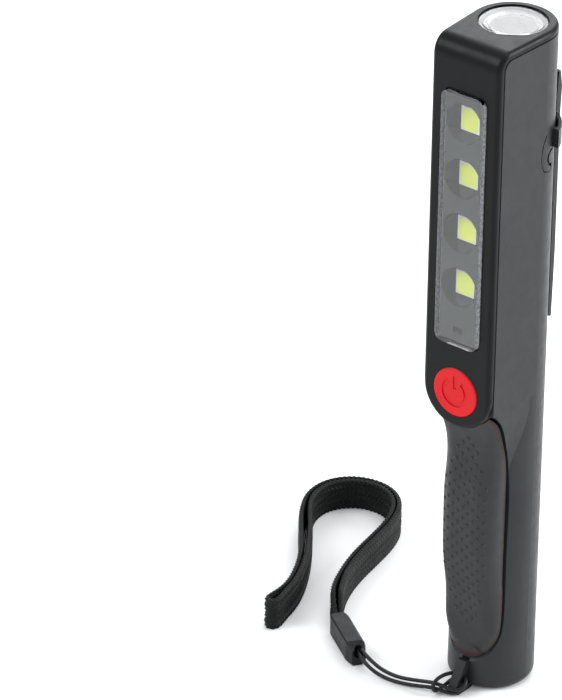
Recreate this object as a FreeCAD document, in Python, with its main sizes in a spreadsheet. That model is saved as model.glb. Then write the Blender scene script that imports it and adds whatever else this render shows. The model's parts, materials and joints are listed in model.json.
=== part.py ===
"""Pen-shaped work light: a round battery handle, a D-shaped lamp head, a rear clip and a wrist strap.

Millimetres. +Z runs up the tube, the lamp's front faces -Y, and the origin is the centre of the round base.
"""
import FreeCAD, Part
import math
import os
import re

import Sketcher
from FreeCAD import Placement, Rotation, Vector

DIMENSIONS = {
    "tube_radius": 12.5, "wall": 1.5, "height": 208.7, "base_thickness": 1.8, "base_edge": 2.6,
    "head_depth": 21.34, "side_taper": 0.047, "head_bottom": 95.8, "bulkhead": 1.8,
    "bezel_thickness": 2.0, "seam_width": 0.44, "seam_depth": 0.7, "bend_radius": 5.4, "bezel_edge": 1.4,
    "window_half": 7.61, "window_low": 115.8, "window_high": 194.7, "window_corner": 3.0,
    "lens_gap": 0.3, "lens_proud": 0.9, "lens_wall": 1.0,
    "button_height": 101.1, "button_radius": 7.44, "button_gap": 0.1, "bezel_arc": 11.5,
    "led_pitch": 16.95, "led_low": 134.3, "led_half_width": 2.8, "led_half_height": 3.3, "led_rise": 0.8,
    "cup_base": 5.1, "cup_rim": 6.05, "tray_front": 20.9, "tray_half": 6.2, "indicator_height": 120.8,
    "board_front": 17.1, "board_thickness": 1.2,
    "spot_hole": 9.84, "spot_lens_radius": 9.5, "spot_board_low": 194.2,
    "driver_front": 3.0, "driver_low": 103.0, "driver_high": 160.0,
    "cell_radius": 5.25, "cell_length": 44.5, "cell_low": 33.4, "cell_side": 5.3, "cell_rear": 1.8,
    "cell_front": 7.35,
    "door_gap": 0.45, "door_wall": 1.2, "lip": 0.5, "seal_width": 0.25, "pad_thickness": 0.9,
    "clip_low": 112.5, "clip_high": 189.5, "clip_half": 6.0, "clip_inner": 13.5, "clip_thickness": 2.2,
    "pivot_rear": 3.7, "pivot_height": 169.4, "trunnion_radius": 1.95, "trunnion_clearance": 0.05,
    "hook_floor": 11.1,
    "cord_diameter": 1.15, "strap_width": 10.0, "strap_thickness": 3.0, "slider_height": 6.5,
    "slider_width": 6.0,
}

doc = FreeCAD.newDocument("work_light")
sheet = doc.addObject("Spreadsheet::Sheet", "Dimensions")
for row, (alias, value) in enumerate(DIMENSIONS.items(), 1):
    sheet.set(f"A{row}", alias)
    sheet.set(f"B{row}", str(value))
    sheet.setAlias(f"B{row}", alias)
doc.recompute()

PARTS = []
LEFT_RIGHT = (-1, 1)
FAR = 40.0
CLIP_TRAVEL = 3.5  # degrees that the clip swings open


def size(alias):
    """A driving dimension's value, for the shapes that are built straight from points."""
    return float(getattr(sheet, alias))


def linked(expression):
    """The expression with each alias turned into a reference to its cell."""
    return re.sub(r"[a-z_]+", lambda word: "Dimensions." + word.group()
                  if word.group() in DIMENSIONS else word.group(), str(expression))


def bind(item, **expressions):
    for name, expression in expressions.items():
        item.setExpression(name.replace("__", "."), linked(expression))
    return item


def keep(item, label):
    """Names a finished sub-part."""
    item.Label = label
    PARTS.append(item)
    return item


# --- Part primitives and booleans -------------------------------------------------------------------

def box(x, y, z):
    """A box between two expressions on each axis."""
    item = doc.addObject("Part::Box", "Box")
    return bind(item, Length=f"({x[1]}) - ({x[0]})", Width=f"({y[1]}) - ({y[0]})",
                Height=f"({z[1]}) - ({z[0]})", Placement__Base__x=x[0], Placement__Base__y=y[0],
                Placement__Base__z=z[0])


TURNS = {"X": Rotation(Vector(0, 1, 0), 90), "Y": Rotation(Vector(1, 0, 0), -90), "Z": Rotation()}


def rod(axis, start, radius, length):
    """A cylinder from a start point along +axis."""
    item = doc.addObject("Part::Cylinder", "Rod")
    item.Placement.Rotation = TURNS[axis]
    return bind(item, Radius=radius, Height=length, Placement__Base__x=start[0],
                Placement__Base__y=start[1], Placement__Base__z=start[2])


def cone(axis, start, radius_one, radius_two, length):
    item = doc.addObject("Part::Cone", "Cone")
    item.Placement.Rotation = TURNS[axis]
    return bind(item, Radius1=radius_one, Radius2=radius_two, Height=length, Placement__Base__x=start[0],
                Placement__Base__y=start[1], Placement__Base__z=start[2])


def fuse(*items):
    item = doc.addObject("Part::MultiFuse", "Fuse")
    item.Shapes = list(items)
    return item


def group(*items):
    item = doc.addObject("Part::Compound", "Group")
    item.Links = list(items)
    return item


def cut(base, *tools):
    for tool in tools:
        item = doc.addObject("Part::Cut", "Cut")
        item.Base, item.Tool = base, tool
        base = item
    return base


def common(*items):
    item = doc.addObject("Part::MultiCommon", "Common")
    item.Shapes = list(items)
    return item


def rounded(base, radius_alias, chosen):
    """Rounds the edges that chosen(edge) picks, with a radius from the sheet."""
    doc.recompute()
    item = doc.addObject("Part::Fillet", "Rounded")
    item.Base = base
    radius = size(radius_alias) if isinstance(radius_alias, str) else radius_alias
    item.Edges = [(n, radius, radius) for n, edge in enumerate(base.Shape.Edges, 1) if chosen(edge)]
    return item


def solid(name, shape):
    item = doc.addObject("Part::Feature", name)
    item.Shape = shape
    return item


def spans(edge, **limits):
    """True if the edge's box lies between the limits given, such as x=(low, high)."""
    bounds = edge.BoundBox
    ends = {"x": (bounds.XMin, bounds.XMax), "y": (bounds.YMin, bounds.YMax),
            "z": (bounds.ZMin, bounds.ZMax)}
    return all(low - 0.01 <= ends[axis][0] and ends[axis][1] <= high + 0.01
               for axis, (low, high) in limits.items())


# --- sketches and PartDesign bodies -----------------------------------------------------------------

PLANES = {"XY": (Rotation(), Vector(0, 0, 1)), "XZ": (Rotation(Vector(1, 0, 0), 90), Vector(0, -1, 0)),
          "YZ": (Rotation(0.5, 0.5, 0.5, 0.5), Vector(1, 0, 0))}


def value_of(expression):
    known = {alias: size(alias) for alias in DIMENSIONS}
    total = FreeCAD.Units.Quantity
    text = re.sub(r"[a-z_]+", lambda word: repr(known[word.group()]), str(expression))
    return float(total(text).Value)


def polygon(sketch, points):
    """A closed outline whose corners are held by bound distances from the origin."""
    places = [Vector(value_of(across), value_of(up), 0) for across, up in points]
    count = len(places)
    lines = sketch.addGeometry([Part.LineSegment(places[n], places[(n + 1) % count]) for n in range(count)])
    for n, line in enumerate(lines):
        sketch.addConstraint(Sketcher.Constraint("Coincident", line, 2, lines[(n + 1) % count], 1))
        for kind, place, expression in (("DistanceX", places[n].x, points[n][0]),
                                        ("DistanceY", places[n].y, points[n][1])):
            held = sketch.addConstraint(Sketcher.Constraint(kind, -1, 1, line, 1, place))
            sketch.setExpression(f"Constraints[{held}]", linked(expression))


def prism(plane, points, low, high):
    """A straight prism: the outline on a plane, from low to high along the plane's axis."""
    rotation, normal = PLANES[plane]
    sketch = doc.addObject("Sketcher::SketchObject", "Outline")
    sketch.Placement = Placement(Vector(), rotation)
    start = f"-({high})" if plane == "XZ" else low
    along = {"XY": "z", "XZ": "y", "YZ": "x"}[plane]
    sketch.setExpression(f"Placement.Base.{along}", linked(high if plane == "XZ" else start))
    polygon(sketch, points)
    item = doc.addObject("Part::Extrusion", "Prism")
    item.Base = sketch
    item.DirMode = "Custom"
    item.Dir = normal
    item.Solid = True
    return bind(item, LengthFwd=f"({high}) - ({low})")


def new_body(label):
    return keep(doc.addObject("PartDesign::Body", label), label)


def on_plane(body, plane, offset="0"):
    sketch = body.newObject("Sketcher::SketchObject", "Sketch")
    origin = next(item for item in body.Origin.OriginFeatures if item.Role == plane + "_Plane")
    sketch.AttachmentSupport = (origin, "")
    sketch.MapMode = "FlatFace"
    return bind(sketch, AttachmentOffset__Base__z=offset)


def feature(body, kind, sketch, reverse=False, **sizes):
    """A Pad or Pocket; the volume must change the way its name says."""
    doc.recompute()
    before = body.Shape.Volume if body.Tip else 0.0
    item = body.newObject("PartDesign::" + kind, kind)
    item.Profile = sketch
    item.Reversed = reverse
    bind(item, **sizes)
    doc.recompute()
    change = body.Shape.Volume - before
    if change * (-1 if kind == "Pocket" else 1) <= 0:
        raise RuntimeError(f"{body.Label}: {kind} changed the volume by {change:.3f}")
    return item


def turned(label, outline, centre=("0", "0")):
    """A body of revolution about a vertical axis, from an outline of (radius, height) points."""
    body = new_body(label)
    sketch = on_plane(body, "XZ")
    polygon(sketch, outline)
    spin = body.newObject("PartDesign::Revolution", "Turned")
    spin.Profile = sketch
    spin.ReferenceAxis = (sketch, ["V_Axis"])
    bind(body, Placement__Base__x=centre[0], Placement__Base__y=centre[1])
    return body


def softened(body, radius, chosen):
    """A PartDesign fillet on the edges that chosen(edge) picks."""
    doc.recompute()
    base = body.Tip
    names = [f"Edge{n}" for n, edge in enumerate(body.Shape.Edges, 1) if chosen(edge)]
    item = body.newObject("PartDesign::Fillet", "Fillet")
    item.Base = (base, names)
    return bind(item, Radius=radius)


# --- routes: straight runs joined by tangent arcs ------------------------------------------------------

ARC_SHARE = 0.45


def route_wire(points, name):
    """One wire of runs and arcs; prints its tightest radius."""
    places = [Vector(*point) for point in points]
    edges, start, radii = [], places[0], []
    for before, corner, after in zip(places, places[1:], places[2:]):
        inward, outward = (corner - before), (after - corner)
        share = ARC_SHARE * min(inward.Length, outward.Length)
        turn = inward.getAngle(outward)
        inward.normalize()
        outward.normalize()
        first, last = corner - inward * share, corner + outward * share
        radii.append(share / math.tan(turn / 2))
        half = radii[-1] * (1 / math.cos(turn / 2) - 1)
        middle = corner + (outward - inward).normalize() * half
        edges += [Part.LineSegment(start, first).toShape(), Part.Arc(first, middle, last).toShape()]
        start = last
    edges.append(Part.LineSegment(start, places[-1]).toShape())
    wire = Part.Wire(edges)
    print(f"{name}: length {wire.Length:.1f}, arc radii {min(radii):.1f} to {max(radii):.1f}")
    return wire


def tube(name, points, diameter):
    wire = route_wire(points, name)
    direction = Vector(*points[1]) - Vector(*points[0])
    section = Part.Wire(Part.makeCircle(diameter / 2, Vector(*points[0]), direction))
    shape = wire.makePipeShell([section], True, False)
    ratio = shape.Volume / (math.pi * diameter ** 2 / 4 * wire.Length)
    if abs(ratio - 1) > 0.02:
        raise RuntimeError(f"{name}: volume is {ratio:.3f} of section times length")
    return solid(name, shape)


# --- the handle's outer form and the door's split line -----------------------------------------------

SPLIT = [(-22.0, 96.2), (-18.6, 95.2), (-15.8, 92.4), (-11.8, 84.9), (-9.0, 76.5), (-8.1, 67.0),
         (-8.2, 46.0), (-8.2, 26.0), (-8.9, 18.2), (-10.5, 13.2), (-12.6, 9.4), (-14.5, 7.6)]
FLANK = 8.2
GRIP = [  # height, half width at the flank, half width at the front, depth, corner radius
    (13.0, 9.0, 7.6, 11.7, 3.3), (20.0, 9.3, 9.3, 12.6, 4.2), (26.0, 9.3, 9.5, 13.2, 4.8),
    (32.0, 9.3, 9.5, 14.4, 6.0), (38.0, 9.3, 9.5, 15.4, 6.0), (45.0, 9.3, 9.5, 16.2, 6.0),
    (56.0, 9.3, 9.5, 16.5, 6.0), (66.0, 9.3, 9.5, 16.4, 6.0), (74.0, 9.6, 9.5, 15.6, 6.0),
    (82.0, 10.6, 10.2, 14.8, 5.0), (88.0, 11.5, 11.1, 15.8, 4.0), (92.0, 11.9, 11.5, 17.4, 3.0),
    (96.5, 12.08, 11.6, 19.0, 2.0)]


def grip_section(row, inset):
    """One level of the handle's outer form, moved inwards by inset."""
    height, flank, front, depth, corner = row
    flank, front, depth = flank - inset, front - inset, depth - inset
    back, corner = size("tube_radius") - inset - 0.15, max(corner - inset, 0.6)
    slant = corner * (1 - math.sqrt(0.5))
    right = [(back, 0), (flank, -FLANK + inset), (front, -(depth - corner))]
    arc = [(front - slant, -(depth - slant)), (front - corner, -depth)]
    point = lambda place, side: Vector(side * place[0], place[1], height)
    edges = []
    for side in LEFT_RIGHT:
        a, b, c = (point(place, side) for place in right)
        middle, end = (point(place, side) for place in arc)
        run = [Part.makeLine(a, b), Part.makeLine(b, c), Part.Arc(c, middle, end).toShape()]
        edges += run if side > 0 else run[::-1]
    ends = [Part.makeLine(point(arc[1], 1), point(arc[1], -1)),
            Part.makeLine(point(right[0], -1), point(right[0], 1))]
    return Part.Wire(Part.__sortEdges__(edges + ends))


def grip_form(inset):
    return solid("GripForm", Part.makeLoft([grip_section(row, inset) for row in GRIP], True, False))


def ahead_of_split(offset):
    """Everything in front of the door's split line, moved forwards by offset."""
    places = [Vector(0, *point) for point in SPLIT]
    moved = []
    for n, place in enumerate(places):
        along = places[min(n + 1, len(places) - 1)] - places[max(n - 1, 0)]
        normal = Vector(0, along.z, -along.y).normalize()
        moved.append(place + normal * offset)
    curve = Part.BSplineCurve()
    curve.interpolate(moved)
    front = [Vector(0, -FAR, moved[-1].z), Vector(0, -FAR, moved[0].z)]
    edges = [curve.toShape(), Part.makeLine(moved[-1], front[0]), Part.makeLine(front[0], front[1]),
             Part.makeLine(front[1], moved[0])]
    face = Part.Face(Part.Wire(edges))
    face.translate(Vector(-FAR / 2, 0, 0))
    return solid("Ahead", face.extrude(Vector(FAR, 0, 0)))


def head_block(inset, depth, low, high):
    """The D-shaped head: half a round tube and two sides that lean in towards the front."""
    rear = f"(tube_radius - {inset})"
    front = f"{rear} * (1 + side_taper * side_taper / 2) - side_taper * ({depth})"
    touch = (f"{rear} * (1 - side_taper * side_taper / 2)", f"-{rear} * side_taper")
    outline = [touch, (front, f"-({depth})"), (f"-({front})", f"-({depth})"), (f"-{touch[0]}", touch[1])]
    return fuse(prism("XY", outline, low, high), rod("Z", ("0", "0", low), rear, f"({high}) - ({low})"))


def around_button(reach):
    """A cylinder through the front, centred on the button."""
    return rod("Y", ("0", f"-{FAR}", "button_height"), f"bezel_arc + {reach}", FAR)


# --- casings ---------------------------------------------------------------------------------------------

def hook_prism(margin, low, high):
    """The J-shaped outline of the clip's hook on the housing's side, grown by margin."""
    up = lambda reach: f"pivot_height + ({reach})"
    outline = [(8.5, up(8.6 + margin)), (3.6, up(8.6 + margin)), (0.6 - margin, up(7.9)),
               (-0.9 - margin, up(5.2)), (-1.6 - margin, up(1.8)), (-1.5 - margin, up(-0.8)),
               (-0.4 - margin, up(-3.0 - margin)), (1.8, up(-4.0 - margin)),
               (4.2 + margin, up(-3.6 - margin)), (4.2 + margin, up(-1.0)), (8.5, up(2.4 - margin))]
    return prism("YZ", outline, low, high)


def about_pivot(item, angle):
    """The item turned about the clip's axis by an angle in degrees."""
    drop, shift = 1 - math.cos(math.radians(angle)), math.sin(math.radians(angle))
    item.Placement.Rotation = Rotation(Vector(1, 0, 0), angle)
    return bind(item, Placement__Base__y=f"pivot_rear * {drop:.6f} + pivot_height * {shift:.6f}",
                Placement__Base__z=f"pivot_height * {drop:.6f} - pivot_rear * {shift:.6f}")


def trunnion(grown, ahead="0"):
    """The round boss that the hook turns on, with the web that joins it to the tube."""
    disc = rod("X", (-FAR / 2, "pivot_rear", "pivot_height"), f"trunnion_radius + {grown}", FAR)
    web = box((-FAR / 2, FAR / 2), (f"pivot_rear - {ahead}", 9),
              ("pivot_height - 5", f"pivot_height + trunnion_radius + {grown}"))
    return fuse(disc, web)


def main_housing():
    skin_depth = "head_depth - bezel_thickness - seam_width"
    skin_top = "height - bezel_thickness - seam_width"
    at_skin_corner = lambda edge: spans(edge, y=(-size("head_depth"), -14), z=(203, 207))
    skin = rounded(head_block("0", skin_depth, "head_bottom", skin_top), "window_corner", at_skin_corner)
    tongue = rounded(head_block("seam_depth", "head_depth - bezel_thickness", "head_bottom",
                                "height - bezel_thickness"), "window_corner", at_skin_corner)
    handle = rounded(rod("Z", ("0", "0", "0"), "tube_radius", "head_bottom + bulkhead"), "base_edge",
                     lambda edge: spans(edge, z=(0, 0)))
    outer = fuse(handle, skin, tongue, grip_form(0.0))
    bay = rod("Z", ("0", "0", "base_thickness"), "tube_radius - wall", "head_bottom - base_thickness")
    inner_form = common(grip_form(size("wall")), box((-FAR, FAR), (-FAR, FAR), ("0", "head_bottom")))
    hollow = head_block("wall", "head_depth", "head_bottom + bulkhead", "height")
    below_head = box((-FAR, FAR), (-FAR, 0), ("0", "head_bottom"))
    opening = cut(common(ahead_of_split(-size("door_gap")), below_head), around_button("0"))
    wire_slot = box((-4.6, 4.6), (3.4, 8.6), ("head_bottom - 1", "head_bottom + bulkhead + 1"))
    shell = cut(outer, bay, inner_form, hollow, opening, wire_slot)

    ring = cut(rod("Z", ("0", "0", "pivot_height - 6"), "tube_radius - 0.6", 18),
               rod("Z", ("0", "0", "pivot_height - 8"), "tube_radius - 3", 22))
    boss = common(ring, box((-FAR, FAR), (-3.5, 8.8), (0, "height")))
    thumb_pad = box((-7.2, 7.2), (8.2, 11.3), ("pivot_height + 9.4", "clip_high + 2"))
    ledge = cut(rod("Z", ("0", "0", "spot_board_low - 1.4"), "tube_radius - wall / 2", 1.4),
                rod("Z", ("0", "0", "spot_board_low - 3"), 7.5, 6))
    rear_ledge = common(ledge, box((-FAR, FAR), (-8, FAR), (0, "height")))
    posts = [rod("Y", ("0", "-driver_front + board_thickness", height), 2.2, "tube_radius + driver_front")
             for height in ("driver_low + 5", "driver_high - 5")]
    posts = [common(post, rod("Z", ("0", "0", "driver_low"), "tube_radius - wall / 2", 60))
             for post in posts]
    filled = fuse(shell, boss, thumb_pad, rear_ledge, *posts)

    screw_holes = [rod("Y", ("0", "-driver_front - 1", height), 0.9, 8)
                   for height in ("driver_low + 5", "driver_high - 5")]
    recesses = [cut(about_pivot(hook_prism(0.18, low, high), angle), trunnion("0"))
                for low, high in (("-14", "-hook_floor"), ("hook_floor", "14"))
                for angle in (0, CLIP_TRAVEL)]
    thumb_flat = box((-6.6, 6.6), (11.2, 14), ("pivot_height + 8", "clip_high + 1.5"))
    spring_well = rod("Y", (0, 9.6, "clip_high - 5.5"), 2.9, 5)
    lug_slot = box((-1.3, 1.3), (-13, -10.4), (7.8, 9.6))
    return keep(cut(filled, *screw_holes, *recesses, thumb_flat, spring_well, lug_slot),
                "main_housing")


def front_bezel():
    whole = head_block("0", "head_depth", "button_height - bezel_arc - 2", "height")
    bend = rounded(whole, "bend_radius", lambda edge: spans(edge, y=(-21.4, -21.2), z=(208.6, 208.8)))
    inner = box((-FAR, FAR), ("-head_depth + bezel_thickness", FAR), (0, "height - bezel_thickness"))
    inner = rounded(inner, "window_corner", lambda edge: spans(edge, y=(-19.4, -19.3), z=(206.6, 206.8)))
    below = cut(box((-FAR, FAR), (-FAR, -10), (0, "button_height")), around_button("0"))
    shell = rounded(cut(bend, inner, below), "bezel_edge", outer_edge)
    window = rounded(box(("-window_half", "window_half"), (-FAR, -10), ("window_low", "window_high")),
                     "window_corner", lambda edge: abs(edge.BoundBox.YLength - (FAR - 10)) < 0.01)
    button_hole = rod("Y", (0, -FAR, "button_height"), "button_radius + button_gap", 30)
    spot_hole = rod("Z", (0, 0, "height - 10"), "spot_hole", 20)
    return keep(cut(shell, window, button_hole, spot_hole), "front_bezel")


def outer_edge(edge):
    """True on the bezel's outside outline: the front plate's rim, the bend's rims and the cap's rim."""
    front, top = -size("head_depth"), size("height")
    middle = edge.valueAt((edge.FirstParameter + edge.LastParameter) / 2)
    on_front = spans(edge, y=(front, front))
    on_top = spans(edge, z=(top, top))
    crease = edge.BoundBox.XLength > 20 and abs(middle.x) < 0.1 and middle.y < 0
    bend = edge.BoundBox.YMin < front + 0.1 and edge.BoundBox.ZMax > top - 0.1
    below_crease = middle.z < size("button_height")
    return (on_front or on_top or bend) and (below_crease or not crease)


# --- window, reflector and area light ----------------------------------------------------------------

def rounded_slab(label, half, low, high, front, back, corner):
    """A flat plate parallel to the front, with rounded corners; front and back are depths."""
    body = new_body(label)
    sketch = on_plane(body, "XZ", front)
    polygon(sketch, [(f"-({half})", low), (half, low), (half, high), (f"-({half})", high)])
    feature(body, "Pad", sketch, reverse=True, Length=f"({front}) - ({back})")
    softened(body, corner, lambda edge: edge.BoundBox.YLength > 0.01)
    return body


def window_parts():
    plate = "head_depth - bezel_thickness"
    lens = rounded_slab("window_lens", "window_half - lens_gap", "window_low + lens_gap",
                        "window_high - lens_gap", "head_depth + lens_proud", f"{plate} - 0.7",
                        "window_corner - lens_gap")
    flange = on_plane(lens, "XZ", f"{plate} - 0.3")
    polygon(flange, [("-window_half - 1", "window_low - 1"), ("window_half + 1", "window_low - 1"),
                     ("window_half + 1", "window_high + 1"), ("-window_half - 1", "window_high + 1")])
    feature(lens, "Pad", flange, reverse=True, Length=0.4)
    hollow = on_plane(lens, "XZ", "head_depth + lens_proud - 1.1")
    inset = "(lens_gap + lens_wall)"
    polygon(hollow, [(f"-window_half + {inset}", f"window_low + {inset}"),
                     (f"window_half - {inset}", f"window_low + {inset}"),
                     (f"window_half - {inset}", f"window_high - {inset}"),
                     (f"-window_half + {inset}", f"window_high - {inset}")])
    feature(lens, "Pocket", hollow, reverse=False, Length=5)

    seal = rounded_slab("window_seal", "window_half + 1", "window_low - 1", "window_high + 1", plate,
                        f"{plate} - 0.3", "window_corner")
    hole = on_plane(seal, "XZ", f"{plate} + 1")
    polygon(hole, [("-window_half", "window_low"), ("window_half", "window_low"),
                   ("window_half", "window_high"), ("-window_half", "window_high")])
    feature(seal, "Pocket", hole, reverse=False, Length=5)


def led_heights():
    return [f"led_low + {n} * led_pitch" for n in range(4)]


def led_cup(height):
    """A cup with four flat walls, whose corners are rounded off towards its round rim."""
    walls = doc.addObject("Part::Wedge", "Walls")
    front, back = "-tray_front - 0.01", "-board_front + 0.01"
    bind(walls, Ymin=front, Ymax=back, Xmin="-tray_half + 0.3", Xmax="tray_half - 0.3",
         Zmin=f"{height} - 6.4", Zmax=f"{height} + 6.4",
         X2min="-led_half_width - 0.5", X2max="led_half_width + 0.5",
         Z2min=f"{height} - led_half_height - 0.5", Z2max=f"{height} + led_half_height + 0.5")
    return common(walls, cone("Y", (0, front, height), "cup_rim", "cup_base", f"({back}) - ({front})"))


def reflector_plate():
    flange = box(("-window_half - 1", "window_half + 1"), ("-board_front - 1.5", "-board_front - 0.1"),
                 ("window_low - 1", "window_high + 1"))
    tray = box(("-tray_half", "tray_half"), ("-tray_front", "-board_front - 0.1"),
               ("window_low + 1.5", "window_high - 1.5"))
    port = box((-1.5, 1.5), (-FAR, 0), ("indicator_height - 0.9", "indicator_height + 0.9"))
    keep(cut(fuse(flange, tray), port, *[led_cup(height) for height in led_heights()]), "reflector_plate")


def led_face(height):
    """The block of phosphor in one LED package."""
    block = box(("-led_half_width", "led_half_width"), ("-board_front - led_rise", "-board_front - 0.3"),
                (f"{height} - led_half_height", f"{height} + led_half_height"))
    return rounded(block, 1.2, lambda edge: abs(edge.BoundBox.YLength - size("led_rise") + 0.3) < 0.01)


def area_lights():
    rounded_slab("led_board", 8.4, "head_bottom + bulkhead + 0.9", "window_high + 3", "board_front",
                 "board_front - board_thickness", 0.8)
    for number, height in enumerate(led_heights(), 1):
        package = box(("-led_half_width - 0.4", "led_half_width + 0.4"),
                      ("-board_front - led_rise", "-board_front"),
                      (f"{height} - led_half_height - 0.4", f"{height} + led_half_height + 0.4"))
        keep(cut(package, led_face(height)), f"area_led_{number}")
        keep(led_face(height), f"area_led_phosphor_{number}")
    lamp = box((-1.4, 1.4), ("-board_front - 1.2", "-board_front"),
               ("indicator_height - 0.8", "indicator_height + 0.8"))
    keep(lamp, "indicator_led")


# --- button and switch -------------------------------------------------------------------------------------

def power_button():
    cap = rounded(rod("Y", (0, "-head_depth - 0.45", "button_height"), "button_radius", 1.8), 0.5,
                  lambda edge: spans(edge, y=(-21.8, -21.78)))
    stem = rod("Y", (0, "-head_depth + 1", "button_height"), 2.0, 1.39)
    tabs = common(box((-8.4, 8.4), ("-head_depth + bezel_thickness + 0.04", "-head_depth + 2.39"),
                      ("button_height - 3", "button_height + 6")),
                  rod("Y", (0, -FAR, "button_height"), "button_radius + 0.9", FAR))
    web = box((-6.6, 6.6), ("-head_depth + 1", "-head_depth + 2.39"),
              ("button_height - 3", "button_height + 3"))
    ring = cut(rod("Y", (0, "-head_depth - 1", "button_height"), 4.5, 0.85),
               rod("Y", (0, "-head_depth - 2", "button_height"), 3.2, 4))
    gap = prism("XZ", [(0, "button_height"), (3.8, "button_height + 6"), (-3.8, "button_height + 6")],
                -FAR, -10)
    bar = box((-0.65, 0.65), ("-head_depth - 1", "-head_depth - 0.15"),
              ("button_height + 1.1", "button_height + 5.0"))
    keep(cut(fuse(cap, stem, tabs, web), cut(ring, gap), bar), "power_button")


def switch_parts():
    case = box((-2.6, 2.6), ("-board_front - 1.3", "-board_front"),
               ("button_height - 2.5", "button_height + 2.5"))
    well = rod("Y", (0, "-board_front - 2", "button_height"), 1.65, 2.0)
    keep(cut(case, well), "switch_body")
    keep(rod("Y", (0, "-head_depth + 2.39", "button_height"), 1.6, 1.35), "switch_plunger")


# --- spot light ------------------------------------------------------------------------------------------------

def spot_parts():
    rim, step = "spot_lens_radius + 0.9", "spot_lens_radius - 0.8"
    turned("spot_lens", [(0, "height - 1.6"), ("spot_lens_radius - 2.4", "height - 1.6"),
                         ("spot_lens_radius - 2.4", "height - 2.8"), (rim, "height - 2.8"),
                         (rim, "height - 2.05"), ("spot_lens_radius", "height - 2.05"),
                         ("spot_lens_radius", "height - 0.6"), (step, "height - 0.6"),
                         (step, "height - 0.25"), (0, "height - 0.25")])
    turned("spot_seal", [("spot_lens_radius - 1.5", "height - 3.3"), (rim, "height - 3.3"),
                         (rim, "height - 2.8"), ("spot_lens_radius - 1.5", "height - 2.8")])
    turned("spot_reflector", [(2.2, "spot_board_low + 1.2"), (3.4, "spot_board_low + 1.2"),
                              (5.6, "height - 8.5"), (7.9, "height - 4.1"), (rim, "height - 4.1"),
                              (rim, "height - 3.3"), (7.0, "height - 3.3"), (6.2, "height - 6"),
                              (4.7, "height - 9.2"), (2.2, "spot_board_low + 1.7")])
    turned("spot_board", [(0, "spot_board_low"), (8.6, "spot_board_low"), (8.6, "spot_board_low + 1.1"),
                          (0, "spot_board_low + 1.1")])
    turned("spot_led", [(0, "spot_board_low + 1.1"), (1.9, "spot_board_low + 1.1"),
                        (1.9, "spot_board_low + 2"), (1.2, "spot_board_low + 2.6"),
                        (0, "spot_board_low + 2.6")])


# --- driver board --------------------------------------------------------------------------------------------

def driver_parts():
    board = box((-9, 9), ("-driver_front", "-driver_front + board_thickness"),
                ("driver_low", "driver_high"))
    holes = [rod("Y", (0, -FAR / 2, height), 1.1, FAR)
             for height in ("driver_low + 5", "driver_high - 5")]
    keep(cut(board, *holes), "driver_board")
    keep(rod("Y", (-3.5, "-driver_front - 3", "driver_low + 24"), 3.2, 3), "driver_inductor")
    keep(box((2, 6), ("-driver_front - 1.4", "-driver_front"), ("driver_low + 20", "driver_low + 26")),
         "driver_chip")
    screws = [fuse(rod("Y", (0, "-driver_front - 1.2", height), 1.8, 1.2),
                   rod("Y", (0, "-driver_front - 1", height), 0.9, 7.5))
              for height in ("driver_low + 5", "driver_high - 5")]
    keep(group(*screws), "board_screws")
    for name, side in (("lead_wire_red", 1), ("lead_wire_black", -1)):
        height = size("driver_low") + 3
        low = size("cell_low") + size("cell_length") + 1.8
        keep(tube(name, [(3 * side, 6.0, low), (3 * side, 7.0, low + 8), (3 * side, 5.4, low + 16),
                         (4 * side, 4.6, height - 1.6), (5 * side, 2.0, height + 0.6),
                         (5.2 * side, -size("driver_front") + size("board_thickness") + 0.1,
                          height + 0.9)], 1.2), name)


# --- batteries ---------------------------------------------------------------------------------------------------

def cell_places():
    return [("-cell_side", "cell_rear"), ("cell_side", "cell_rear"), ("0", "-cell_front")]


def coil_spring(name, radius, length, wire_diameter):
    """A coil about +Z with three turns, starting at the height of the origin."""
    count = 24
    turns = [math.radians(45 * n) for n in range(count + 1)]
    points = [(radius * math.cos(turn), radius * math.sin(turn), length * n / count)
              for n, turn in enumerate(turns)]
    return tube(name, points, wire_diameter)


def battery_parts():
    top = "cell_low + cell_length"
    for number, place in enumerate(cell_places(), 1):
        outline = [(0, "cell_low"), ("cell_radius - 0.4", "cell_low"), ("cell_radius", "cell_low + 0.4"),
                   ("cell_radius", f"{top} - 1.2"), ("cell_radius - 0.4", f"{top} - 0.8"),
                   (1.9, f"{top} - 0.8"), (1.9, top), (0, top)]
        turned(f"battery_cell_{number}", outline, place)
        spring = coil_spring(f"battery_spring_{number}", 2.6, 2.7, 0.6)
        bind(spring, Placement__Base__x=place[0], Placement__Base__y=place[1],
             Placement__Base__z="cell_low - 3.0")
        keep(spring, f"battery_spring_{number}")
    for name, low in (("contact_plates_low", "cell_low - 3.6"), ("contact_plates_high", top)):
        keep(group(*[rod("Z", (*place, low), 3.4, 0.3) for place in cell_places()]), name)
    walls = []
    for low in ("cell_low - 5", f"{top} + 0.3"):
        disc = rod("Z", (0, 0, low), "tube_radius - wall - 0.2", 1.4)
        walls.append(common(disc, box((-FAR, FAR), ("-cell_front - 3.2", FAR), (0, 100))))
    spine = box((-4, 4), (8.2, 9.8), ("cell_low - 5", f"{top} + 1.7"))
    keep(fuse(spine, *walls), "battery_cradle")


# --- battery door with its soft grip ---------------------------------------------------------------------------

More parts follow.
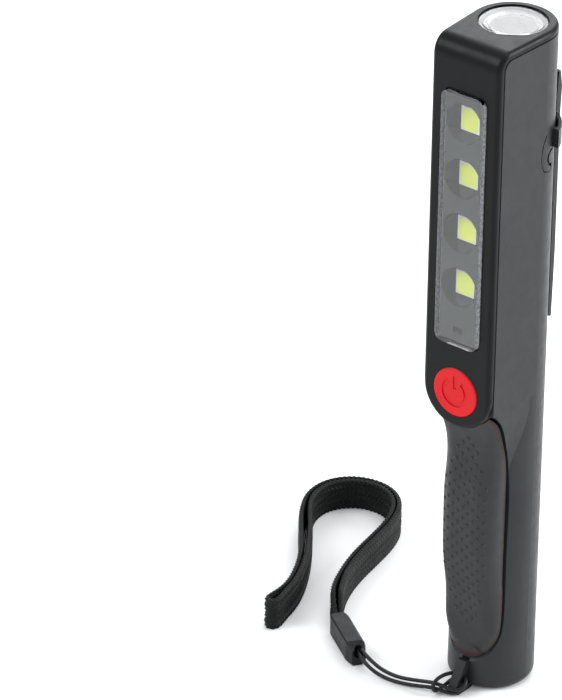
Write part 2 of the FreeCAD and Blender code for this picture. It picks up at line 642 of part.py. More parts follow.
def door_parts():
    below_head = box((-FAR, FAR), (-FAR, 0), (0, "head_bottom - 0.5"))
    inside_door = common(ahead_of_split(size("door_gap")), below_head)
    form = fuse(grip_form(0.0), rod("Z", (0, 0, 6), "tube_radius", 88))
    outer = cut(common(form, inside_door), around_button("0.25"))
    hollow = fuse(grip_form(size("pad_thickness") + size("door_wall")),
                  rod("Z", (0, 0, 2), "tube_radius - 0.7 - wall / 2", 110))
    core = fuse(grip_form(size("pad_thickness")), rod("Z", (0, 0, 2), "tube_radius - pad_thickness", 110))
    skin = cut(outer, core)
    lip = size("door_gap") + size("lip")
    seal_zone = common(skin, ahead_of_split(lip))
    pad = cut(common(skin, ahead_of_split(lip + size("seal_width"))), around_button("0.25 + seal_width"))
    keep(cut(outer, hollow, seal_zone), "battery_door")
    inner_edge = cut(ahead_of_split(lip + size("seal_width")), around_button("0.25 + seal_width"))
    keep(cut(seal_zone, inner_edge), "door_seal")
    keep(pad, "grip_pad")


# --- rear clip ---------------------------------------------------------------------------------------------------

def clip_parts():
    inner, outer = "clip_inner", "clip_inner + clip_thickness"
    profile = [(inner, "clip_low + 1"), (f"{inner} + 0.5", "clip_low"),
               (f"{outer} - 0.6", "clip_low"), (outer, "clip_low + 20"), (outer, "clip_high - 12"),
               (f"{outer} + 0.4", "clip_high - 5"), (f"{outer} - 0.5", "clip_high"),
               (f"{inner} + 0.6", "clip_high"), (inner, "clip_high - 7")]
    plate = rounded(prism("YZ", profile, "-clip_half", "clip_half"), 0.5,
                    lambda edge: edge.BoundBox.XLength < 0.01 and edge.BoundBox.YMax > 15.2)
    low, top = "pivot_height + 2.8", "pivot_height + 8.4"
    saddle = cut(rod("Z", (0, 0, low), 14.4, f"({top}) - ({low})"),
                 rod("Z", (0, 0, "pivot_height"), 13.4, 16))
    saddle = common(saddle, box((-FAR, FAR), (4.8, FAR), (0, "height")))
    round_tube = rod("Z", (0, 0, "pivot_height - 10"), "tube_radius", 25)
    hooks = [common(hook_prism(0, low, high), round_tube)
             for low, high in (("-14", "-hook_floor - 0.1"), ("hook_floor + 0.1", "14"))]
    bridge = cut(rod("Z", (0, 0, low), 14.4, f"({top}) - ({low})"), rod("Z", (0, 0, 0), 12.4, "height"))
    bridge = common(bridge, box((-FAR, FAR), (4.0, 5.2), (0, "height")))
    bearing = trunnion("trunnion_clearance", "0.5")
    face = "hook_floor + 0.45"
    shadow = cut(trunnion("0.85", "0.5"), box((f"-({face})", face), (-FAR, FAR), (0, "height")))
    pocket = rod("Y", (0, f"{inner} - 1", "clip_low + 38"), 4.1, 2.9)
    keep(cut(fuse(plate, saddle, bridge, *hooks), bearing, shadow, pocket), "clip_lever")
    keep(rod("Y", (0, f"{inner} + 0.5", "clip_low + 38"), 4.0, 1.35), "clip_magnet")
    keep(rod("Y", (0, inner, "clip_low + 38"), 4.1, 0.5), "magnet_cap")
    spring = coil_spring("clip_spring", 2.2, 3.0, 0.6)
    spring.Placement.Rotation = TURNS["Y"]
    bind(spring, Placement__Base__y=9.6 + 0.32, Placement__Base__z="clip_high - 5.5")
    keep(spring, "clip_spring")


# --- strap, slider and cord -------------------------------------------------------------------------------------

SLIDER_BACK, SLIDER_FRONT = Vector(-46.0, -12.5, 0), Vector(-30.2, -23.3, 0)
STRAP = [(-46.0, -12.5), (-50.0, -9.0), (-53.8, -3.0), (-57.3, 5.0), (-60.0, 14.5), (-61.7, 24.5),
         (-63.7, 34.5), (-67.3, 43.0), (-73.3, 48.4), (-80.7, 49.7), (-88.0, 46.8), (-92.3, 40.0),
         (-92.0, 31.8), (-87.6, 24.0), (-80.4, 15.2), (-73.0, 5.4), (-67.0, -5.2), (-63.6, -14.5),
         (-62.9, -22.4)]
CORD = [(-32.2, -21.9, 3.9), (-28.6, -24.4, 3.8), (-25.2, -25.3, 2.4), (-20.8, -25.3, 1.1),
        (-15.4, -24.8, 0.9), (-9.6, -23.4, 1.3), (-4.4, -21.6, 2.0), (-1.0, -20.4, 1.2),
        (1.6, -18.9, 1.0), (2.9, -17.0, 2.0), (2.4, -15.2, 3.3), (0.2, -14.3, 3.6),
        (-2.2, -15.0, 3.0), (-3.3, -17.2, 1.3), (-3.6, -20.0, 0.75), (-3.7, -22.0, 1.2),
        (-3.8, -22.9, 2.9), (-3.8, -21.5, 4.5), (-3.5, -18.8, 5.0), (-2.6, -16.1, 5.0),
        (-0.8, -14.3, 4.9), (1.6, -14.3, 4.7), (3.3, -16.2, 3.6), (2.8, -18.6, 2.4),
        (0.4, -20.0, 2.5), (-4.2, -21.0, 3.4), (-9.6, -22.4, 2.6), (-15.2, -23.7, 2.0),
        (-20.6, -24.1, 2.3), (-24.8, -24.0, 3.6), (-28.0, -23.4, 4.7), (-31.4, -21.2, 4.4)]


def strap_lug():
    """The black bar at the foot of the door that the cord hitches round."""
    low, high = Vector(0, -17.5, 1.6), Vector(0, -12.6, 9.0)
    along = (high - low).normalize()
    reach = (high - low).Length
    bar = Part.makeBox(2.9, 2.5, reach, Vector(-1.45, -1.25, 0))
    bar.Placement = Placement(low, Rotation(Vector(0, 0, 1), along))
    foot = rounded(box((-1.9, 1.9), (-18.2, -11.0), (0, 1.9)), 0.6,
                   lambda edge: edge.BoundBox.ZLength > 1.5)
    toe = common(foot, rod("Z", (0, -7.5, 0), 10.6, 5))
    outside = box((-FAR, FAR), (-FAR, FAR), (0, 9.3))
    whole = common(fuse(solid("Bar", bar), toe), outside)
    tube_wall = rounded(rod("Z", (0, 0, 0), "tube_radius", 90), "base_edge",
                        lambda edge: spans(edge, z=(0, 0)))
    peg = box((-1.25, 1.25), (-13.0, -10.9), (7.9, 9.2))
    keep(fuse(cut(whole, tube_wall), peg), "strap_lug")


def strap_slider():
    """A chamfered prism with a narrower nose, lying on the floor."""
    length = (SLIDER_FRONT - SLIDER_BACK).Length
    half, high = size("slider_width") / 2, size("slider_height")
    outline = lambda width, top, trim: [(-width, 0.4), (-width + 0.4, 0), (width - 1.2, 0), (width, 1.2),
                                        (width, top - 2 * trim), (width - 0.3 * trim, top - trim),
                                        (width - trim, top - 0.3 * trim), (width - 2 * trim, top),
                                        (-width + 0.4, top), (-width, top - 0.4)]
    levels = ((0, half - 0.3, high, 1.0), (1.0, half, high, 1.1), (length - 3.2, half, high, 1.1),
              (length, half - 0.9, high - 1.4, 0.9))
    wires = [Part.makePolygon([Vector(along, across, up) for across, up in outline(width, top, trim)]
                              + [Vector(along, -width, 0.4)]) for along, width, top, trim in levels]
    shape = Part.makeLoft(wires, True, True)
    direction = SLIDER_FRONT - SLIDER_BACK
    place = Placement(SLIDER_BACK, Rotation(Vector(1, 0, 0), direction))
    body = solid("SliderBlock", shape)
    body.Placement = place
    hole = solid("SliderHole", Part.makeCylinder(1.75, 3, Vector(length - 2.6, 0, 4.1), Vector(1, 0, 0)))
    hole.Placement = place
    keep(cut(body, hole), "strap_slider")


def wrist_strap():
    """Two layers of webbing on edge, plain: one band along the strap's middle line."""
    path = route_wire([(*point, size("strap_width") / 2) for point in STRAP], "wrist_strap")
    along = Vector(*STRAP[1], 0) - Vector(*STRAP[0], 0)
    across = Vector(-along.y, along.x, 0).normalize() * size("strap_thickness") / 2
    start = Vector(*STRAP[0], 0)
    top = Vector(0, 0, size("strap_width"))
    section = Part.makePolygon([start - across, start + across, start + across + top,
                                start - across + top, start - across])
    shape = path.makePipeShell([section], True, False)
    keep(solid("Strap", shape), "wrist_strap")


def strap_parts():
    strap_lug()
    strap_slider()
    wrist_strap()
    keep(tube("lanyard_cord", CORD, size("cord_diameter")), "lanyard_cord")


def build():
    main_housing()
    front_bezel()
    window_parts()
    reflector_plate()
    area_lights()
    power_button()
    switch_parts()
    spot_parts()
    driver_parts()
    battery_parts()
    door_parts()
    clip_parts()
    strap_parts()
    doc.recompute()
    failed = [item.Label for item in doc.Objects if {"Invalid", "Error"} & set(item.State)]
    failed += [item.Label for item in PARTS if item.Shape.isNull() or not item.Shape.isValid()]
    if failed:
        raise RuntimeError(f"failed: {failed}")
    os.makedirs("parts", exist_ok=True)
    for item in PARTS:
        item.Shape.exportStep(f"parts/{item.Label}.step")
        print(item.Label, round(item.Shape.Volume, 1), len(item.Shape.Solids))


build()
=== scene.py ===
"""A pen-shaped work light standing on a pale studio floor, with its wrist strap lying beside it."""
import json
import math

import bpy
import numpy as np
from mathutils import Matrix, Vector
from mathutils.bvhtree import BVHTree


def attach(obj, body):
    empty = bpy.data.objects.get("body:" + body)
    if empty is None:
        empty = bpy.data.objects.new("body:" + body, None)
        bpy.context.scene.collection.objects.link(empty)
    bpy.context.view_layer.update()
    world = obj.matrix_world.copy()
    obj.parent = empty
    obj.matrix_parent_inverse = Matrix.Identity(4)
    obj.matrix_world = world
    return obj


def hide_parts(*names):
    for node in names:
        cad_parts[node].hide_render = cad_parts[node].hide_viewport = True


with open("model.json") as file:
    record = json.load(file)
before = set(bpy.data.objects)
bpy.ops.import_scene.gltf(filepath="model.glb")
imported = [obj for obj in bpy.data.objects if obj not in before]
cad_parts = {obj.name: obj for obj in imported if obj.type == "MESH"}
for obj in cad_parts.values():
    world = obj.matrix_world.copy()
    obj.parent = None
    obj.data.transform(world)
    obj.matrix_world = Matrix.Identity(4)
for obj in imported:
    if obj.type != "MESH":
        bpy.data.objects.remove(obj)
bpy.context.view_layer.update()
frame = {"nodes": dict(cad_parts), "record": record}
MM = 0.001                                               # the scene's unit is the metre

# --- camera -----------------------------------------------------------------------------------

TURN, TILT, ROLL = (math.radians(angle) for angle in (38.16, 29.20, 0.91))
LENS, SENSOR = 319.4, 36.0                               # mm
DISTANCE = 1.7494                                        # m, from the point aimed at
AIM_HEIGHT, AIM_RIGHT, AIM_UP = 0.100, -0.06202, 0.00472


def add_camera():
    back = Vector((math.sin(TURN) * math.cos(TILT), -math.cos(TURN) * math.cos(TILT), math.sin(TILT)))
    level = Vector((0, 0, 1)).cross(back).normalized()
    rise = back.cross(level)
    right = math.cos(ROLL) * level + math.sin(ROLL) * rise
    up = math.cos(ROLL) * rise - math.sin(ROLL) * level
    place = Vector((0, 0, AIM_HEIGHT)) + AIM_RIGHT * right + AIM_UP * up + DISTANCE * back
    camera = bpy.data.objects.new("camera", bpy.data.cameras.new("camera"))
    camera.data.lens, camera.data.sensor_width = LENS, SENSOR
    camera.matrix_world = Matrix.Translation(place) @ Matrix((right, up, back)).transposed().to_4x4()
    bpy.context.scene.collection.objects.link(camera)
    bpy.context.scene.camera = camera


# --- materials --------------------------------------------------------------------------------

TONE_SIZE, GLOSS_SIZE, POLISH_SIZE, STREAK_SIZE = 14.0, 3.0, 5.0, 0.9     # mm, across one patch of each
GLOSS_SPREAD = 0.12
CLEAR_INDEX = 1.49
FROSTED_FROM = 0.80                                      # a lens wall is frosted where it faces X by more
MOULDED = {
    "housing_grey": dict(colour=(0.0190, 0.0212, 0.0222), rough=0.40, grain_mm=0.35, grain_depth=0.006,
                         specular=0.24),
    "bezel_black": dict(colour=(0.0045, 0.0052, 0.0056), rough=0.36, grain_mm=0.3, grain_depth=0.006,
                        specular=0.15),
    "seal_black": dict(colour=(0.006, 0.006, 0.006), rough=0.7, grain_mm=0.3, grain_depth=0.02),
    "seal_white": dict(colour=(0.62, 0.63, 0.64), rough=0.5, grain_mm=0.3, grain_depth=0.01),
    "reflector_grey": dict(colour=(0.046, 0.051, 0.054), rough=0.38, grain_mm=0.8, grain_depth=0.001,
                           metallic=0.2, specular=0.20),
    "board_white": dict(colour=(0.72, 0.72, 0.70), rough=0.4, grain_mm=0.4, grain_depth=0.004),
    "board_green": dict(colour=(0.015, 0.11, 0.04), rough=0.35, grain_mm=0.6, grain_depth=0.01),
    "led_package": dict(colour=(0.80, 0.80, 0.76), rough=0.35, grain_mm=0.4, grain_depth=0.004,
                        spread=0.03),
    # painted shade: the spot LED is given a dark grey, the darker look of its lighter phosphor seen through
    # the lens
    "spot_emitter": dict(colour=(0.14, 0.14, 0.155), rough=0.5, grain_mm=0.4, grain_depth=0.004),
    "phosphor": dict(colour=(0.78, 0.87, 0.16), rough=0.45, grain_mm=0.25, grain_depth=0.012, spread=0.06),
    "button_red": dict(colour=(0.60, 0.008, 0.012), rough=0.40, grain_mm=0.35, grain_depth=0.006,
                       spread=0.05, specular=0.18),
    "switch_black": dict(colour=(0.01, 0.01, 0.01), rough=0.5, grain_mm=0.4, grain_depth=0.01),
    "ferrite": dict(colour=(0.05, 0.05, 0.05), rough=0.8, grain_mm=0.3, grain_depth=0.04),
    "reflector_chrome": dict(colour=(0.085, 0.088, 0.094), rough=0.30, grain_mm=0.8, grain_depth=0.002,
                             spread=0.02, metallic=0.85),
    "steel": dict(colour=(0.55, 0.55, 0.56), rough=0.28, grain_mm=0.3, grain_depth=0.006, spread=0.06,
                  metallic=1.0),
    "nickel": dict(colour=(0.62, 0.60, 0.56), rough=0.2, grain_mm=0.3, grain_depth=0.004, spread=0.06,
                   metallic=1.0),
    "cell_wrap": dict(colour=(0.03, 0.07, 0.22), rough=0.3, grain_mm=0.8, grain_depth=0.004),
    "wire_red": dict(colour=(0.45, 0.01, 0.01), rough=0.4, grain_mm=0.3, grain_depth=0.006),
    "wire_black": dict(colour=(0.01, 0.01, 0.01), rough=0.4, grain_mm=0.3, grain_depth=0.006),
    "door_black": dict(colour=(0.012, 0.0130, 0.0135), rough=0.42, grain_mm=0.35, grain_depth=0.006,
                       specular=0.24),
    "seal_red": dict(colour=(0.060, 0.0035, 0.0032), rough=0.5, grain_mm=0.3, grain_depth=0.01),
    "grip_rubber": dict(colour=(0.0200, 0.0208, 0.0212), rough=0.46, grain_mm=0.25, grain_depth=0.014),
    "clip_grey": dict(colour=(0.0190, 0.0212, 0.0222), rough=0.42, grain_mm=0.35, grain_depth=0.006,
                      specular=0.22),
    "slider_grey": dict(colour=(0.017, 0.0185, 0.0192), rough=0.46, grain_mm=0.35, grain_depth=0.008,
                        specular=0.12),
    "webbing_black": dict(colour=(0.0030, 0.0035, 0.0033), rough=0.50, grain_mm=0.12, grain_depth=0.03,
                          spread=0.35, specular=0.20, sheen=0.01),
    "cord_black": dict(colour=(0.005, 0.0055, 0.006), rough=0.42, grain_mm=0.25, grain_depth=0.05),
}


def new_material(name):
    made = bpy.data.materials.new(name)
    made.use_nodes = True
    tree = made.node_tree
    return made, tree, tree.nodes["Principled BSDF"]


def noise(tree, size_mm, detail=4.0):
    """Noise in the part's own frame, whose features are about size_mm across."""
    where = tree.nodes.new("ShaderNodeTexCoord")
    made = tree.nodes.new("ShaderNodeTexNoise")
    made.inputs["Scale"].default_value = 1 / (size_mm * MM)
    made.inputs["Detail"].default_value = detail
    made.inputs["Roughness"].default_value = 0.55
    tree.links.new(where.outputs["Object"], made.inputs["Vector"])
    return made.outputs["Fac"]


def between(tree, factor, low, high, start=0.35, end=0.65):
    """A ramp from the colour low to the colour high, driven by factor."""
    ramp = tree.nodes.new("ShaderNodeValToRGB")
    for stop, place, colour in zip(ramp.color_ramp.elements, (start, end), (low, high)):
        stop.position = place
        stop.color = (*colour, 1)
    tree.links.new(factor, ramp.inputs["Fac"])
    return ramp.outputs["Color"]


def calculated(tree, operation, *values):
    """The result of a maths node; each value is a number or another node's output."""
    made = tree.nodes.new("ShaderNodeMath")
    made.operation = operation
    for socket, value in zip(made.inputs, values):
        if isinstance(value, (int, float)):
            socket.default_value = value
        else:
            tree.links.new(value, socket)
    return made.outputs[0]


def mixed(tree, factor, first, second):
    """A blend of two shaders, from the first at a factor of 0 to the second at 1."""
    made = tree.nodes.new("ShaderNodeMixShader")
    tree.links.new(factor, made.inputs["Fac"])
    tree.links.new(first.outputs[0], made.inputs[1])
    tree.links.new(second.outputs[0], made.inputs[2])
    return made


def relief(tree, shader, height, depth_mm):
    bump = tree.nodes.new("ShaderNodeBump")
    bump.inputs["Distance"].default_value = depth_mm * MM
    bump.inputs["Strength"].default_value = 1.0
    tree.links.new(height, bump.inputs["Height"])
    tree.links.new(bump.outputs["Normal"], shader.inputs["Normal"])


def moulded(name, colour, rough, grain_mm, grain_depth, spread=0.12, metallic=0.0, specular=0.32,
            sheen=0.0):
    """Plastic, rubber, metal or yarn: a faint change of tone, a fine grain and a little uneven gloss."""
    made, tree, shader = new_material(name)
    tones = [tuple(channel * (1 + side * spread) for channel in colour) for side in (-1, 1)]
    tree.links.new(between(tree, noise(tree, TONE_SIZE), *tones), shader.inputs["Base Color"])
    glossier, duller = [rough * (1 - GLOSS_SPREAD)] * 3, [min(1, rough * (1 + GLOSS_SPREAD))] * 3
    tree.links.new(between(tree, noise(tree, GLOSS_SIZE), glossier, duller), shader.inputs["Roughness"])
    relief(tree, shader, noise(tree, grain_mm, detail=2.0), grain_depth)
    shader.inputs["Metallic"].default_value = metallic
    shader.inputs["Specular IOR Level"].default_value = specular
    if sheen:
        shader.inputs["Sheen Weight"].default_value = sheen
        shader.inputs["Sheen Roughness"].default_value = 0.4
    return made


def clear_plastic(name):
    """Clear plastic that lets light through to what is behind it, with side walls frosted in streaks."""
    made, tree, shader = new_material(name)
    shader.inputs["Base Color"].default_value = (0.97, 0.98, 0.98, 1)
    shader.inputs["Transmission Weight"].default_value = 1.0
    shader.inputs["IOR"].default_value = CLEAR_INDEX
    polish = between(tree, noise(tree, POLISH_SIZE), (0.01,) * 3, (0.05,) * 3)
    tree.links.new(polish, shader.inputs["Roughness"])
    frosted = tree.nodes.new("ShaderNodeBsdfDiffuse")
    frosted.inputs["Color"].default_value = (0.80, 0.82, 0.86, 1)
    facing = tree.nodes.new("ShaderNodeSeparateXYZ")
    tree.links.new(tree.nodes.new("ShaderNodeTexCoord").outputs["Normal"], facing.inputs["Vector"])
    sideways = calculated(tree, "ABSOLUTE", facing.outputs["X"])
    wall = calculated(tree, "GREATER_THAN", sideways, FROSTED_FROM)
    streaks = between(tree, noise(tree, STREAK_SIZE), (0.30,) * 3, (0.62,) * 3, 0.40, 0.60)
    clouded = mixed(tree, calculated(tree, "MULTIPLY", wall, streaks), shader, frosted)
    path = tree.nodes.new("ShaderNodeLightPath")
    through = tree.nodes.new("ShaderNodeBsdfTransparent")
    whole = mixed(tree, path.outputs["Is Shadow Ray"], clouded, through)
    tree.links.new(whole.outputs[0], tree.nodes["Material Output"].inputs["Surface"])
    return made


def make_finishes():
    """The material of each slot in the record."""
    finishes = {slot: moulded(slot, **look) for slot, look in MOULDED.items()}
    finishes["clear_lens"] = clear_plastic("clear_lens")
    return finishes


def dress_nodes(finishes):
    """Gives each CAD node the finish of its slot in the record."""
    for part in frame["record"]["subparts"]:
        for place in frame["nodes"][part["node"]].material_slots:
            place.material = finishes[part["material_slot"]]


# --- shapes -----------------------------------------------------------------------------------

def new_piece(name, points, faces, body, finish):
    mesh = bpy.data.meshes.new(name)
    mesh.from_pydata([tuple(point) for point in points], [], faces)
    mesh.polygons.foreach_set("use_smooth", [True] * len(mesh.polygons))
    mesh.materials.append(finish)
    piece = bpy.data.objects.new(name, mesh)
    bpy.context.scene.collection.objects.link(piece)
    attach(piece, body)
    return piece


def smooth_curve(name, route_mm, radius_mm=0.0):
    """A curve of one open spline with the route's points as its control points; a radius makes it solid."""
    curve = bpy.data.curves.new(name, "CURVE")
    curve.dimensions = "3D"
    curve.resolution_u = 24
    spline = curve.splines.new("NURBS")
    spline.points.add(len(route_mm) - 1)
    for point, place in zip(spline.points, route_mm):
        point.co = (*(Vector(place) * MM), 1)
        point.radius = radius_mm * MM
    spline.order_u = 3
    spline.use_endpoint_u = True
    curve.bevel_depth = 1.0 if radius_mm else 0.0        # the points' own radius gives the size
    curve.bevel_resolution = 6
    curve.use_fill_caps = True
    return bpy.data.objects.new(name, curve)


def followed(route_mm):
    """The points along the route's spline."""
    line = smooth_curve("guide", route_mm)
    points = np.array([v.co for v in bpy.data.meshes.new_from_object(line).vertices])
    bpy.data.objects.remove(line)
    return points


def spaced(points, step):
    """The same line, with points a step apart."""
    runs = np.r_[0, np.cumsum(np.linalg.norm(np.diff(points, axis=0), axis=1))]
    count = max(2, int(round(runs[-1] / step)))
    at = np.linspace(0, runs[-1], count + 1)
    return np.column_stack([np.interp(at, runs, points[:, axis]) for axis in range(points.shape[1])])


def directions(line):
    """At each point of a flat line, the unit vectors along it and to its left."""
    along = np.gradient(line, axis=0)
    along /= np.linalg.norm(along, axis=1)[:, None]
    return along, np.column_stack([-along[:, 1], along[:, 0]])


def band_faces(rows, columns):
    """Faces between the rings of points of a closed band, and one over each of its ends."""
    index = np.arange(rows * columns).reshape(rows, columns)
    after = np.roll(index, -1, axis=1)
    faces = np.stack([index[:-1], after[:-1], after[1:], index[1:]], axis=-1).reshape(-1, 4).tolist()
    return faces + [index[0, ::-1].tolist(), index[-1].tolist()]


# --- lanyard cord -----------------------------------------------------------------------------

CORD_DIAMETER, CORD_LENGTH = 1.15, 110.0                 # mm, as all the sizes below are
CORD_ROUTE = [
    (-32.2, -21.9, 3.9), (-28.6, -24.4, 3.8), (-25.2, -25.3, 2.4), (-20.8, -25.3, 1.1), (-15.4, -24.8, 0.9),
    (-9.6, -23.4, 1.3), (-4.4, -21.6, 2.0), (-1.0, -20.4, 1.2), (1.6, -18.9, 1.0), (2.9, -17.0, 2.0),
    (2.4, -15.2, 3.3), (0.2, -14.3, 3.6), (-2.2, -15.0, 3.0), (-3.3, -17.2, 1.3), (-3.6, -20.0, 0.75),
    (-3.7, -22.0, 1.2), (-3.8, -22.9, 2.9), (-3.8, -21.5, 4.5), (-3.5, -18.8, 5.0), (-2.6, -16.1, 5.0),
    (-0.8, -14.3, 4.9), (1.6, -14.3, 4.7), (3.3, -16.2, 3.6), (2.8, -18.6, 2.4), (0.4, -20.0, 2.5),
    (-4.2, -21.0, 3.4), (-9.6, -22.4, 2.6), (-15.2, -23.7, 2.0), (-20.6, -24.1, 2.3), (-24.8, -24.0, 3.6),
    (-28.0, -23.4, 4.7), (-31.4, -21.2, 4.4)]


def add_cord(finish):
    """One thin cord: hitched round the lug, with both its strands running into the slider."""
    cord = smooth_curve("lanyard_cord_drawn", CORD_ROUTE, CORD_DIAMETER / 2)
    bpy.context.scene.collection.objects.link(cord)
    cord.data.materials.append(finish)
    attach(cord, "body")
    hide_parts("lanyard_cord")


# --- wrist strap ------------------------------------------------------------------------------

STRAP_ROUTE = [
    (-46.0, -12.5), (-50.0, -9.0), (-53.8, -3.0), (-57.3, 5.0), (-60.0, 14.5), (-61.7, 24.5), (-63.7, 34.5),
    (-67.3, 43.0), (-73.3, 48.4), (-80.7, 49.7), (-88.0, 46.8), (-92.3, 40.0), (-92.0, 31.8), (-87.6, 24.0),
    (-80.4, 15.2), (-73.0, 5.4), (-67.0, -5.2), (-63.6, -14.5), (-62.9, -22.4)]
WEBBING_WIDTH, WEBBING_THICKNESS = 9.9, 1.45
LAYER_OFFSET = 0.82                                      # from the middle line to each of the two layers
OPENINGS_ALONG = ((0.06, 0.04, 0.30), (0.72, 0.08, 0.50), (1.00, 0.03, 0.80))   # place, spread, extra
PINCH_LENGTH, PINCHED_WIDTH = 8.0, 5.6
GROUND_GAP = 0.05
RIB_WIDTH, STITCH_PITCH, STITCH_LEAN, YARN_RELIEF = 1.65, 1.45, 1.1, 0.50
WEAVE_STEP = 0.20
FOLD_POINTS, OUTLINE_POINTS = 16, 112
OUTLINE_POWER = 2 / 9                                    # a flat oblong with rounded edges; 1 is an ellipse


def layer_offset(share):
    """Half the distance between the two layers, at a share of the way to the fold."""
    extra = sum(more * np.exp(-((share - place) / spread) ** 2) for place, spread, more in OPENINGS_ALONG)
    return LAYER_OFFSET + extra


def band_line():
    """The line of the webbing in plan: out along one layer, round the fold, back along the other."""
    middle = spaced(followed([(*point, 0) for point in STRAP_ROUTE])[:, :2] / MM, WEAVE_STEP)
    along, across = directions(middle)
    offset = layer_offset(np.linspace(0, 1, len(middle)))[:, None]
    turn = np.linspace(0, math.pi, FOLD_POINTS)[1:-1, None]
    fold = middle[-1] + offset[-1] * (np.cos(turn) * across[-1] + np.sin(turn) * along[-1])
    return spaced(np.vstack([middle + offset * across, fold, (middle - offset * across)[::-1]]), WEAVE_STEP)


def band_outline():
    """The webbing's section, as points across its thickness and up its width."""
    turns = np.linspace(0, 2 * math.pi, OUTLINE_POINTS, endpoint=False)
    side = np.sign(np.cos(turns)) * np.abs(np.cos(turns)) ** OUTLINE_POWER
    rise = np.sign(np.sin(turns)) * np.abs(np.sin(turns)) ** OUTLINE_POWER
    outline = np.column_stack([side * WEBBING_THICKNESS / 2, rise * WEBBING_WIDTH / 2])
    return spaced(np.vstack([outline, outline[:1]]), WEAVE_STEP)[:-1]


def band_half_width(travelled):
    """Half the webbing's width along the band, which is gathered at both ends to enter the slider."""
    from_slider = np.minimum(travelled, travelled[-1] - travelled)
    ease = np.clip(from_slider / PINCH_LENGTH, 0, 1)
    return (PINCHED_WIDTH + (WEBBING_WIDTH - PINCHED_WIDTH) * ease * ease * (3 - 2 * ease)) / 2


def yarn_height(along, around):
    """The woven surface: ribs along the band, each with slanted stitches, in a herringbone."""
    column = np.floor(around / RIB_WIDTH)
    within = around / RIB_WIDTH - column
    lean = np.where(column % 2 == 0, 1.0, -1.0) * (within - 0.5)
    stitch = 0.5 + 0.5 * np.cos(2 * math.pi * (along / STITCH_PITCH + STITCH_LEAN * lean))
    return YARN_RELIEF * (np.sqrt(np.sin(math.pi * within)) * (0.25 + 0.75 * stitch) - 0.7)


def add_strap(finish):
    """The woven band, swept along its line; it replaces the plain strap of the CAD."""
    line, outline = band_line(), band_outline()
    _, across = directions(line)
    outward = -directions(outline)[1]
    travelled, around = np.arange(len(line)) * WEAVE_STEP, np.arange(len(outline)) * WEAVE_STEP
    half_width = band_half_width(travelled)[:, None]
    height = yarn_height(travelled[:, None], around)
    reach = outline[:, 0] + height * outward[:, 0]
    level = (outline[:, 1] + height * outward[:, 1]) * (2 * half_width / WEBBING_WIDTH)
    points = np.empty((len(line), len(outline), 3))
    points[:, :, :2] = line[:, None, :] + reach[:, :, None] * across[:, None, :]
    points[:, :, 2] = level + half_width + GROUND_GAP
    faces = band_faces(len(line), len(outline))
    strap = new_piece("wrist_strap_woven", points.reshape(-1, 3) * MM, faces, "body",
                      finish)
    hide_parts("wrist_strap")


# --- grip dimples -----------------------------------------------------------------------------

DIMPLE_RADIUS, DIMPLE_HEIGHT, DIMPLE_SUNK = 0.66, 0.30, 0.02
DIMPLE_COLUMNS, DIMPLE_ROWS = 1.75, 3.6                  # how far apart they stand, across and up
FIELD_LOW, FIELD_HIGH, FIELD_HALF_WIDTH = 22.0, 85.0, 8.6
FIELD_POWER = 0.5                                        # below 1, the leaf-shaped field has fuller ends
PROBE_START = -50.0                                      # in front of the pad


def surface_of(node):
    mesh = frame["nodes"][node].data
    return BVHTree.FromPolygons([v.co for v in mesh.vertices], [tuple(p.vertices) for p in mesh.polygons])


def dome(centre, normal, rings=3, sides=14):
    """A low round bump standing on a surface, as its points and faces."""
    turn = Vector((0, 0, 1)).rotation_difference(normal).to_matrix()
    points = [turn @ Vector((0, 0, DIMPLE_HEIGHT)) * MM + centre]
    for ring in range(1, rings + 1):
        lean = math.pi / 2 * ring / rings
        out, up = DIMPLE_RADIUS * math.sin(lean), DIMPLE_HEIGHT * math.cos(lean) - DIMPLE_SUNK
        for side in range(sides):
            angle = 2 * math.pi * side / sides
            points.append(turn @ Vector((out * math.cos(angle), out * math.sin(angle), up)) * MM + centre)
    faces = [(0, 1 + side, 1 + (side + 1) % sides) for side in range(sides)]
    for start in range(1, 1 + (rings - 1) * sides, sides):
        for side in range(sides):
            after = (side + 1) % sides
            faces.append((start + side, start + sides + side, start + sides + after, start + after))
    return points, faces


def add_dimples(finish):
    """Rows of small bumps on the rubber pad, in a leaf-shaped field."""
    pad = surface_of("grip_pad")
    points, faces = [], []
    columns_each_side = int(FIELD_HALF_WIDTH / DIMPLE_COLUMNS)
    for column in range(-columns_each_side, columns_each_side + 1):
        across = column * DIMPLE_COLUMNS
        height = FIELD_LOW + (DIMPLE_ROWS / 2 if column % 2 else 0)
        while height <= FIELD_HIGH:
            share = (height - FIELD_LOW) / (FIELD_HIGH - FIELD_LOW)
            if abs(across) <= FIELD_HALF_WIDTH * math.sin(math.pi * share) ** FIELD_POWER:
                start = Vector((across * MM, PROBE_START * MM, height * MM))
                hit, normal, _, _ = pad.ray_cast(start, Vector((0, 1, 0)))
                if hit is not None:
                    more, shape = dome(hit, normal)
                    faces += [tuple(i + len(points) for i in face) for face in shape]
                    points += more
            height += DIMPLE_ROWS
    new_piece("grip_dimples", points, faces, "door", finish)


# --- floor and lights -------------------------------------------------------------------------

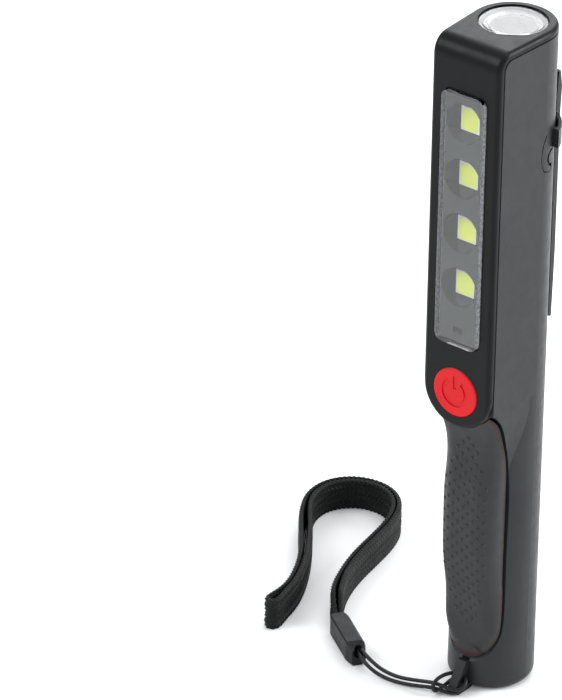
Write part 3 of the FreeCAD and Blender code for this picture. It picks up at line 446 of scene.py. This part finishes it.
FLOOR_HALF = 4.0                                         # m, as the lights' places and sizes are
SKY_COLOUR, SKY_STRENGTH = (0.945, 0.98, 1.0, 1), 0.82
LIT_POINT = Vector((0, 0, 0.1))
LIGHTS = {                                               # place, width, height, watts
    "key": ((-0.9, -1.1, 1.3), 0.9, 0.9, 13),
    "back": ((-0.8, 1.1, 0.85), 1.2, 0.8, 9),
    "rim": ((1.2, 1.1, 0.7), 0.5, 1.2, 25),
    "top": ((0.2, 0.5, 1.8), 0.9, 0.9, 8),
}


def add_floor():
    corners = [(-FLOOR_HALF, -FLOOR_HALF, 0), (FLOOR_HALF, -FLOOR_HALF, 0), (FLOOR_HALF, FLOOR_HALF, 0),
               (-FLOOR_HALF, FLOOR_HALF, 0)]
    mesh = bpy.data.meshes.new("floor")
    mesh.from_pydata(corners, [], [(0, 1, 2, 3)])
    mesh.materials.append(moulded("studio_floor", (0.93, 0.93, 0.93), 0.7, 4.0, 0.002, spread=0.005))
    floor = bpy.data.objects.new("floor", mesh)
    bpy.context.scene.collection.objects.link(floor)


def add_light(name, place, width, height, watts):
    """An oblong soft light that points at the middle of the object."""
    data = bpy.data.lights.new(name, "AREA")
    data.shape, data.size, data.size_y, data.energy = "RECTANGLE", width, height, watts
    light = bpy.data.objects.new(name, data)
    light.location = place
    light.rotation_euler = (LIT_POINT - Vector(place)).to_track_quat("-Z", "Y").to_euler()
    bpy.context.scene.collection.objects.link(light)


def light_studio():
    world = bpy.data.worlds.new("studio")
    bpy.context.scene.world = world
    world.use_nodes = True
    sky = world.node_tree.nodes["Background"]
    sky.inputs["Color"].default_value = SKY_COLOUR
    sky.inputs["Strength"].default_value = SKY_STRENGTH
    for name, light in LIGHTS.items():
        add_light(name, *light)
    bpy.context.scene.view_settings.view_transform = "Standard"


def main():
    add_camera()
    finishes = make_finishes()
    dress_nodes(finishes)
    add_cord(finishes["cord_black"])
    add_strap(finishes["webbing_black"])
    add_dimples(finishes["grip_rubber"])
    add_floor()
    light_studio()


main()
bpy.context.view_layer.update()
